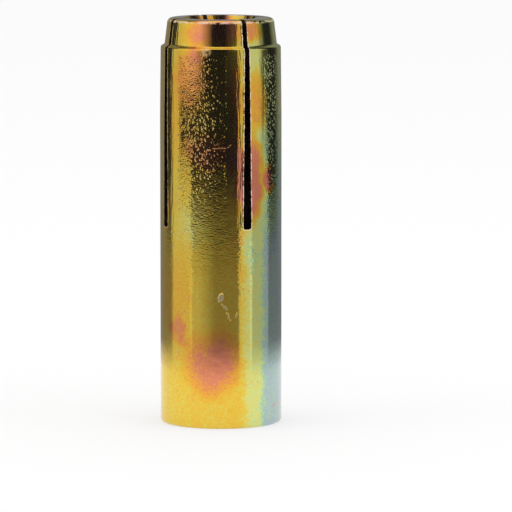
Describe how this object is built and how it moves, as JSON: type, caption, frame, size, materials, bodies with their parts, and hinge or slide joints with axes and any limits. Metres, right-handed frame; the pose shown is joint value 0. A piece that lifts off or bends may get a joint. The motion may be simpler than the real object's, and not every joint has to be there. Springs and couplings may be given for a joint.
{
  "type": "drop in anchor",
  "caption": "Slotted steel expansion sleeve with a threaded bore for a bolt, and a wedge plug that slides up its bore to spread the slotted end.",
  "frame": {"origin": "centre of the threaded end's face, which the anchor stands on", "axes": "+Z along the sleeve's axis, towards the slotted end; the four slots lie on +X, +Y, -X and -Y"},
  "size_m": [0.015, 0.015, 0.05],
  "materials": {
    "yellow_zinc": "glossy steel with iridescent yellow zinc chromate",
    "plain_steel": "plain turned steel"
  },
  "bodies": {
    "sleeve": {"anchor_sleeve": "yellow_zinc"},
    "plug": {"expander_plug": "plain_steel"}
  },
  "joints": [
    {"name": "plug_slide", "type": "slide", "parent": "sleeve", "child": "plug", "axis": [0, 0, 1], "range_m": [0, 0.0039]}
  ]
}
